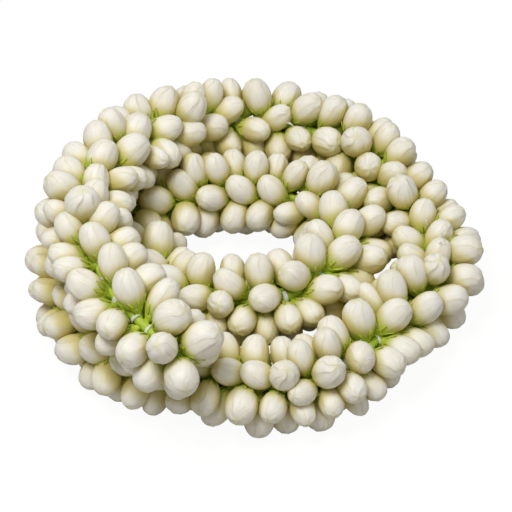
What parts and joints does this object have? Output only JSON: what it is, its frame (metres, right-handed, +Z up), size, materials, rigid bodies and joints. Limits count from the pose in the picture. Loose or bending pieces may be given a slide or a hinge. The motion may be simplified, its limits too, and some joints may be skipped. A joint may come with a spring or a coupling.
{
  "type": "jasmine garland",
  "caption": "Coiled rope of closed white jasmine buds tied in whorls round a cotton thread, laid flat in a double turn as an offering, hair or welcome garland",
  "frame": {"origin": "centre of the bounding box in plan, at the height of the surface that the coil lies on", "axes": "+Z up; -Y towards the front, where the outer turn's upper end lies on the turn below; +X to the right, where the coil is one rope thick"},
  "size_m": [0.1654, 0.1636, 0.06],
  "materials": {
    "petals": "satin",
    "green": "matte",
    "thread": "matte"
  },
  "bodies": {
    "root": {"whorl_01": "petals", "whorl_02": "petals", "whorl_03": "petals", "whorl_04": "petals", "whorl_05": "petals", "whorl_06": "petals", "whorl_07": "petals", "whorl_08": "petals", "whorl_09": "petals", "whorl_10": "petals", "whorl_11": "petals", "whorl_12": "petals", "whorl_13": "petals", "whorl_14": "petals", "whorl_15": "petals", "whorl_16": "petals", "whorl_17": "petals", "whorl_18": "petals", "whorl_19": "petals", "whorl_20": "petals", "whorl_21": "petals", "whorl_22": "petals", "whorl_23": "petals", "whorl_24": "petals", "whorl_25": "petals", "whorl_26": "petals", "whorl_27": "petals", "whorl_28": "petals", "whorl_29": "petals", "whorl_30": "petals", "whorl_31": "petals", "whorl_32": "petals", "whorl_33": "petals", "whorl_34": "petals", "whorl_35": "petals", "whorl_36": "petals", "whorl_37": "petals", "whorl_38": "petals", "whorl_39": "petals", "whorl_40": "petals", "whorl_41": "petals", "whorl_42": "petals", "whorl_43": "petals", "whorl_44": "petals", "whorl_45": "petals", "whorl_46": "petals", "whorl_47": "petals", "whorl_48": "petals", "whorl_49": "petals", "whorl_50": "petals", "whorl_51": "petals", "whorl_52": "petals", "whorl_53": "petals", "whorl_54": "petals", "whorl_55": "petals", "whorl_56": "petals", "whorl_57": "petals", "cotton_thread": "thread"}
  },
  "joints": []
}
